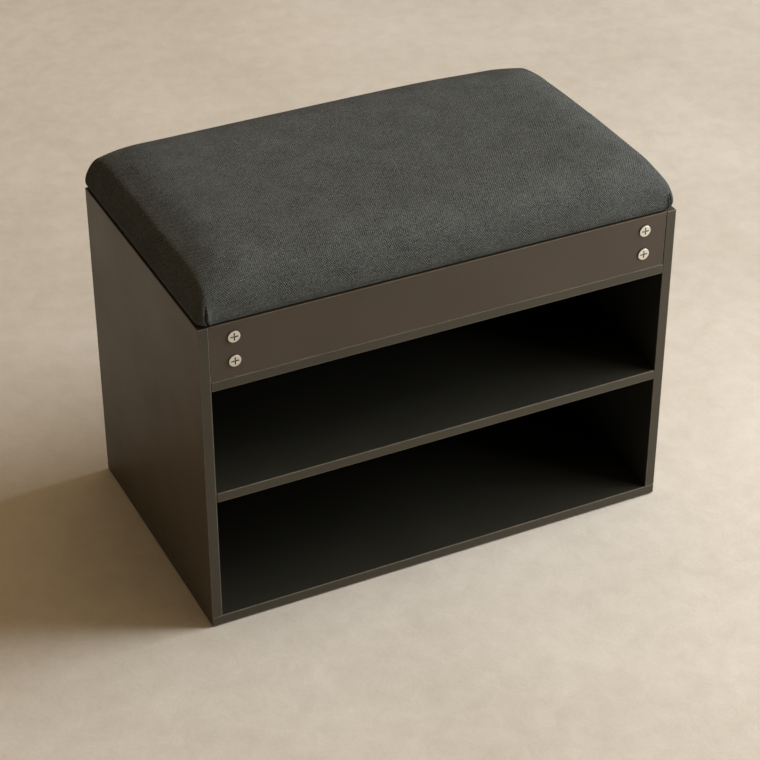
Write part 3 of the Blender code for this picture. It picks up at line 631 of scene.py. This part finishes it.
def padding_swell(form):
    """Blow the closed form up as cloth, held at its rim; returns the points and how they moved."""
    body = add_object("swell_form", form)
    remesh = body.modifiers.new("even", "REMESH")
    remesh.mode = "VOXEL"
    remesh.voxel_size = SWELL_VOXEL
    mesh = settled_mesh(body)
    bpy.data.objects.remove(body)
    rest = coordinates(mesh)
    cloth_object = add_object("swell_cloth", mesh)
    held = cloth_object.vertex_groups.new(name="held")
    low = [index for index, point in enumerate(rest) if point[2] < seat_rim + HELD_ABOVE_RIM]
    held.add(low, 1.0, "REPLACE")
    cloth = cloth_object.modifiers.new("cloth", "CLOTH")
    settings = cloth.settings
    settings.quality = 6
    settings.mass = 0.25
    settings.tension_stiffness = 22.0
    settings.compression_stiffness = 12.0
    settings.shear_stiffness = 8.0
    settings.bending_stiffness = 1.5
    settings.tension_damping = 12.0
    settings.use_pressure = True
    settings.uniform_pressure_force = SWELL_PRESSURE
    settings.effector_weights.gravity = 0.0
    settings.vertex_group_mass = "held"
    cloth.point_cache.frame_start = 1
    cloth.point_cache.frame_end = SWELL_FRAMES
    scene = bpy.context.scene
    for number in range(1, SWELL_FRAMES + 1):
        scene.frame_set(number)
    moved = coordinates(settled_mesh(cloth_object)) - rest
    bpy.data.objects.remove(cloth_object)
    scene.frame_set(1)
    length = np.linalg.norm(moved, axis=1, keepdims=True)
    return rest, moved * SWELL_CAP / (SWELL_CAP + length)


CARRY_REACH = 0.011
CARRY_NEIGHBOURS = 14


def carried(points, rest, moved):
    """Spread the movement of scattered points smoothly over other points near them."""
    tree = kdtree.KDTree(len(rest))
    for index, point in enumerate(rest):
        tree.insert(point, index)
    tree.balance()
    result = np.zeros_like(points)
    for number, point in enumerate(points):
        found = tree.find_n(point, CARRY_NEIGHBOURS)
        index = [item[1] for item in found]
        weight = np.exp(-(np.array([item[2] for item in found]) / CARRY_REACH) ** 2) + 1e-9
        result[number] = (moved[index] * weight[:, None]).sum(0) / weight.sum()
    return result


def smoothstep(value, low, high):
    share = np.clip((value - low) / (high - low), 0.0, 1.0)
    return share * share * (3 - 2 * share)


def pleat(points):
    """Fold the cloth at the ends of the front and back faces, from the rim to mid height."""
    x, y, z = points[:, 0], points[:, 1] - seat_middle_y, points[:, 2]
    climb = np.clip((z - seat_rim) / PLEAT_HEIGHT, 0.0, 1.5)
    line = PLEAT_INSET - PLEAT_LEAN * climb
    inset_x, inset_y = seat_half_x - np.abs(x), seat_half_y - np.abs(y)
    past = line - inset_x + np.clip(inset_y, 0.0, None)
    fade = 1 - smoothstep(climb, 0.55, 1.1)
    lip = PLEAT_LIP * np.exp(-((past + PLEAT_LIP_SETBACK) / PLEAT_LIP_WIDTH) ** 2)
    groove = -PLEAT_GROOVE * np.exp(-((past - 0.0003) / PLEAT_GROOVE_WIDTH) ** 2)
    doubled = smoothstep(past, 0.0004, 0.0016) * (1 - smoothstep(past, 0.010, 0.034))
    near_face = 1 - smoothstep(inset_y, 0.014, 0.030)
    step = (lip + groove) * fade * near_face + PLEAT_OVERLAP * PLEAT_LIP * doubled * fade
    under = 1 - smoothstep(z, seat_rim, seat_rim + 0.0012)
    step *= 1 - under
    across = smoothstep(np.abs(x), seat_half_x - 0.0035, seat_half_x - 0.0005)
    direction = np.stack((np.sign(x) * across, np.sign(y) * (1 - across), np.zeros_like(x)), -1)
    return points + direction * step[:, None]


def closed_form(spacing):
    """The seat's outer form with its underside filled in."""
    form, opening = seat_mesh("closed_form", spacing, side_rings(HEM_WIDTH))
    shape = bmesh.new()
    shape.from_mesh(form)
    shape.verts.ensure_lookup_table()
    shape.faces.new([shape.verts[index] for index in opening])
    bmesh.ops.recalc_face_normals(shape, faces=shape.faces)
    shape.to_mesh(form)
    shape.free()
    return form


def seat_cover(material, swell):
    """The cover: the swollen form, pleated at its corners, as a skin of the cloth's thickness."""
    mesh, _ = seat_mesh("upholstery", COVER_SPACING, side_rings(HEM_WIDTH), pleated=True)
    points = coordinates(mesh)
    if swell:
        points = points + carried(points, *swell)
    points = pleat(points)
    mesh.vertices.foreach_set("co", points.astype(np.float32).ravel())
    mesh.shade_smooth()
    mesh.materials.append(material)
    mesh.update()
    cover = add_object("upholstery", mesh)
    skin = cover.modifiers.new("skin", "SOLIDIFY")
    skin.thickness = CLOTH_THICKNESS
    skin.offset = -1.0
    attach(cover, "lid")
    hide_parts("seat_cover")
    return cover


FOAM_CLEARANCE = 0.0022         # from the cover's outer face to the foam


def foam_pad(material, swell):
    """The foam under the cover, cut flat where it lies on the lid board."""
    mesh = closed_form(FOAM_SPACING)
    points = coordinates(mesh)
    if swell:
        points = points + carried(points, *swell)
    normals = np.array([vertex.normal for vertex in mesh.vertices])
    points = points - normals * FOAM_CLEARANCE
    mesh.vertices.foreach_set("co", points.astype(np.float32).ravel())
    shape = bmesh.new()
    shape.from_mesh(mesh)
    board_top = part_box("lid_board")[1].z + 0.0003
    bmesh.ops.bisect_plane(shape, geom=[*shape.verts, *shape.edges, *shape.faces],
                           plane_co=(0, 0, board_top), plane_no=(0, 0, -1), clear_outer=True)
    bmesh.ops.holes_fill(shape, edges=[edge for edge in shape.edges if edge.is_boundary])
    shape.to_mesh(mesh)
    shape.free()
    mesh.shade_smooth()
    mesh.set_sharp_from_angle(angle=math.radians(40))
    mesh.materials.clear()
    mesh.materials.append(material)
    pad = add_object("foam_pad", mesh)
    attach(pad, "lid")
    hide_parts("seat_foam")
    return pad


# ---------------------------------------------------------------- the lid's underside
DUST_SAG = 0.0016
DUST_THICKNESS = 0.0004
STAPLE_SIZE = Vector((0.0100, 0.0009, 0.0004))
STAPLE_EDGE = 0.00015           # radius of a staple's edges
STAPLE_PITCH = 0.034
STAPLE_FROM_RIM = 0.0105
STAPLE_FROM_HINGE = 0.012
STAPLE_TILT = 7.0               # degrees, the most that a staple is driven askew


def dust_sheet(material):
    """Non-woven cloth tacked under the lid board: it hangs a little slack between its edges."""
    low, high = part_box("dust_cover")
    shape = bmesh.new()
    bmesh.ops.create_grid(shape, x_segments=120, y_segments=70, size=0.5)
    half = (high - low) / 2
    middle = (high + low) / 2
    for vertex in shape.verts:
        across, along = vertex.co.x * 2, vertex.co.y * 2
        slack = (1 - across ** 6) * (1 - along ** 4)
        ripple = noise.noise(Vector((across * 9, along * 5, 0.0))) * 0.5
        vertex.co = Vector((middle.x + across * half.x, middle.y + along * half.y,
                            high.z - DUST_SAG * slack * (0.6 + ripple)))
    mesh = bpy.data.meshes.new("dust_sheet")
    shape.to_mesh(mesh)
    shape.free()
    mesh.shade_smooth()
    mesh.materials.append(material)
    sheet = add_object("dust_sheet", mesh)
    skin = sheet.modifiers.new("skin", "SOLIDIFY")
    skin.thickness = DUST_THICKNESS
    skin.offset = -1.0
    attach(sheet, "lid")
    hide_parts("dust_cover")
    return sheet


def staples(material):
    """A row of staples that hold the turned-under cloth, clear of the hinges."""
    shape = bmesh.new()
    line_x, line_y = seat_half_x - STAPLE_FROM_RIM, seat_half_y - STAPLE_FROM_RIM
    hinge_low, hinge_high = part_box("hinge_lid_leaf_right")
    clear_low, clear_high = hinge_low.x - STAPLE_FROM_HINGE, hinge_high.x + STAPLE_FROM_HINGE
    spots = []
    count_x = round(2 * line_x / STAPLE_PITCH)
    for index in range(1, count_x):
        x = -line_x + 2 * line_x * index / count_x
        spots.append((x, -line_y, 0.0))
        if not clear_low < abs(x) < clear_high:
            spots.append((x, line_y, 0.0))
    count_y = round(2 * line_y / STAPLE_PITCH)
    for index in range(1, count_y):
        y = -line_y + 2 * line_y * index / count_y
        spots += [(-line_x, y, 90.0), (line_x, y, 90.0)]
    for number, (x, y, turn) in enumerate(spots):
        tilt = STAPLE_TILT * math.sin(number * 2.4)
        made = bmesh.ops.create_cube(shape, size=1.0)["verts"]
        bmesh.ops.scale(shape, vec=STAPLE_SIZE, verts=made)
        edges = list({edge for vertex in made for edge in vertex.link_edges})
        rounded = bmesh.ops.bevel(shape, geom=edges, offset=STAPLE_EDGE, segments=2, affect="EDGES",
                                  clamp_overlap=True)["verts"]
        made = list({*rounded, *[vertex for vertex in made if vertex.is_valid]})
        bmesh.ops.rotate(shape, verts=made, matrix=Matrix.Rotation(math.radians(turn + tilt), 3, "Z"))
        bmesh.ops.translate(shape, verts=made,
                            vec=(x, y + seat_middle_y, seat_rim - STAPLE_SIZE.z * 0.35))
    mesh = bpy.data.meshes.new("hem_staples")
    shape.to_mesh(mesh)
    shape.free()
    mesh.shade_smooth()
    mesh.set_sharp_from_angle(angle=math.radians(50))
    mesh.materials.append(material)
    row = add_object("hem_staples", mesh)
    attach(row, "lid")
    return row


# ---------------------------------------------------------------- stage
def room():
    """Soft light, mostly from the ceiling, and a plain backdrop where the camera looks past it."""
    world = bpy.data.worlds.new("room")
    world.use_nodes = True
    tree = world.node_tree
    light = tree.nodes["Background"]
    place = tree.nodes.new("ShaderNodeTexCoord")
    overhead = tree.nodes.new("ShaderNodeVectorMath")
    overhead.operation = "DOT_PRODUCT"
    overhead.inputs[1].default_value = CEILING_AXIS
    climb = tree.nodes.new("ShaderNodeMath")
    climb.operation = "POWER"
    climb.use_clamp = True
    climb.inputs[1].default_value = CEILING_SPREAD
    mix = tree.nodes.new("ShaderNodeMix")
    mix.data_type = "RGBA"
    mix.inputs["A"].default_value = (*WALL_COLOR, 1.0)
    mix.inputs["B"].default_value = (*CEILING_COLOR, 1.0)
    backdrop = tree.nodes.new("ShaderNodeBackground")
    backdrop.inputs["Color"].default_value = (*BACKDROP_COLOR, 1.0)
    ray = tree.nodes.new("ShaderNodeLightPath")
    choice = tree.nodes.new("ShaderNodeMixShader")
    for source, target in (
            (place.outputs["Generated"], overhead.inputs[0]),
            (overhead.outputs["Value"], climb.inputs[0]),
            (climb.outputs[0], mix.inputs["Factor"]), (mix.outputs["Result"], light.inputs["Color"]),
            (ray.outputs["Is Camera Ray"], choice.inputs[0]), (light.outputs[0], choice.inputs[1]),
            (backdrop.outputs[0], choice.inputs[2]),
            (choice.outputs[0], tree.nodes["World Output"].inputs["Surface"])):
        tree.links.new(source, target)
    return world


def aimed(name, data, place, forward):
    """An object whose own -Z looks along the given direction, as a camera's or a lamp's does."""
    obj = add_object(name, data)
    obj.location = place
    obj.rotation_mode = "QUATERNION"
    obj.rotation_quaternion = forward.to_track_quat("-Z", "Y")
    return obj


def stage():
    """The floor, the two lamps, the room's light and the camera."""
    floor_mesh = bpy.data.meshes.new("studio_floor")
    shape = bmesh.new()
    bmesh.ops.create_grid(shape, x_segments=4, y_segments=4, size=FLOOR_REACH)
    shape.to_mesh(floor_mesh)
    shape.free()
    floor_mesh.materials.append(floor_paint())
    add_object("studio_floor", floor_mesh)

    lamp = bpy.data.lights.new("key", "AREA")
    lamp.shape = "RECTANGLE"
    lamp.size, lamp.size_y = KEY_SIZE
    lamp.energy = KEY_POWER
    lamp.color = KEY_COLOR
    toward = Vector((math.cos(KEY_AZIMUTH) * math.cos(KEY_ELEVATION),
                     -math.sin(KEY_AZIMUTH) * math.cos(KEY_ELEVATION), math.sin(KEY_ELEVATION)))
    aimed("key", lamp, toward * KEY_DISTANCE, -toward)

    soft = bpy.data.lights.new("fill", "AREA")
    soft.shape = "SQUARE"
    soft.size = FILL_SIZE
    soft.energy = FILL_POWER
    aimed("fill", soft, FILL_PLACE, FILL_TARGET - FILL_PLACE)

    scene = bpy.context.scene
    scene.world = room()
    camera_data = bpy.data.cameras.new("camera")
    camera_data.lens = CAMERA_LENS
    forward = Vector((-math.sin(CAMERA_AZIMUTH) * math.cos(CAMERA_ELEVATION),
                      math.cos(CAMERA_AZIMUTH) * math.cos(CAMERA_ELEVATION),
                      -math.sin(CAMERA_ELEVATION)))
    scene.camera = aimed("camera", camera_data, CAMERA_PLACE, forward)
    scene.view_settings.view_transform = "Standard"


stage()
looks = finish_cad_nodes()
swell = padding_swell(closed_form(SWELL_SPACING))
seat_cover(looks["linen"], swell)
foam_pad(looks["foam"], swell)
dust_sheet(looks["dust_cloth"])
staples(looks["steel"])
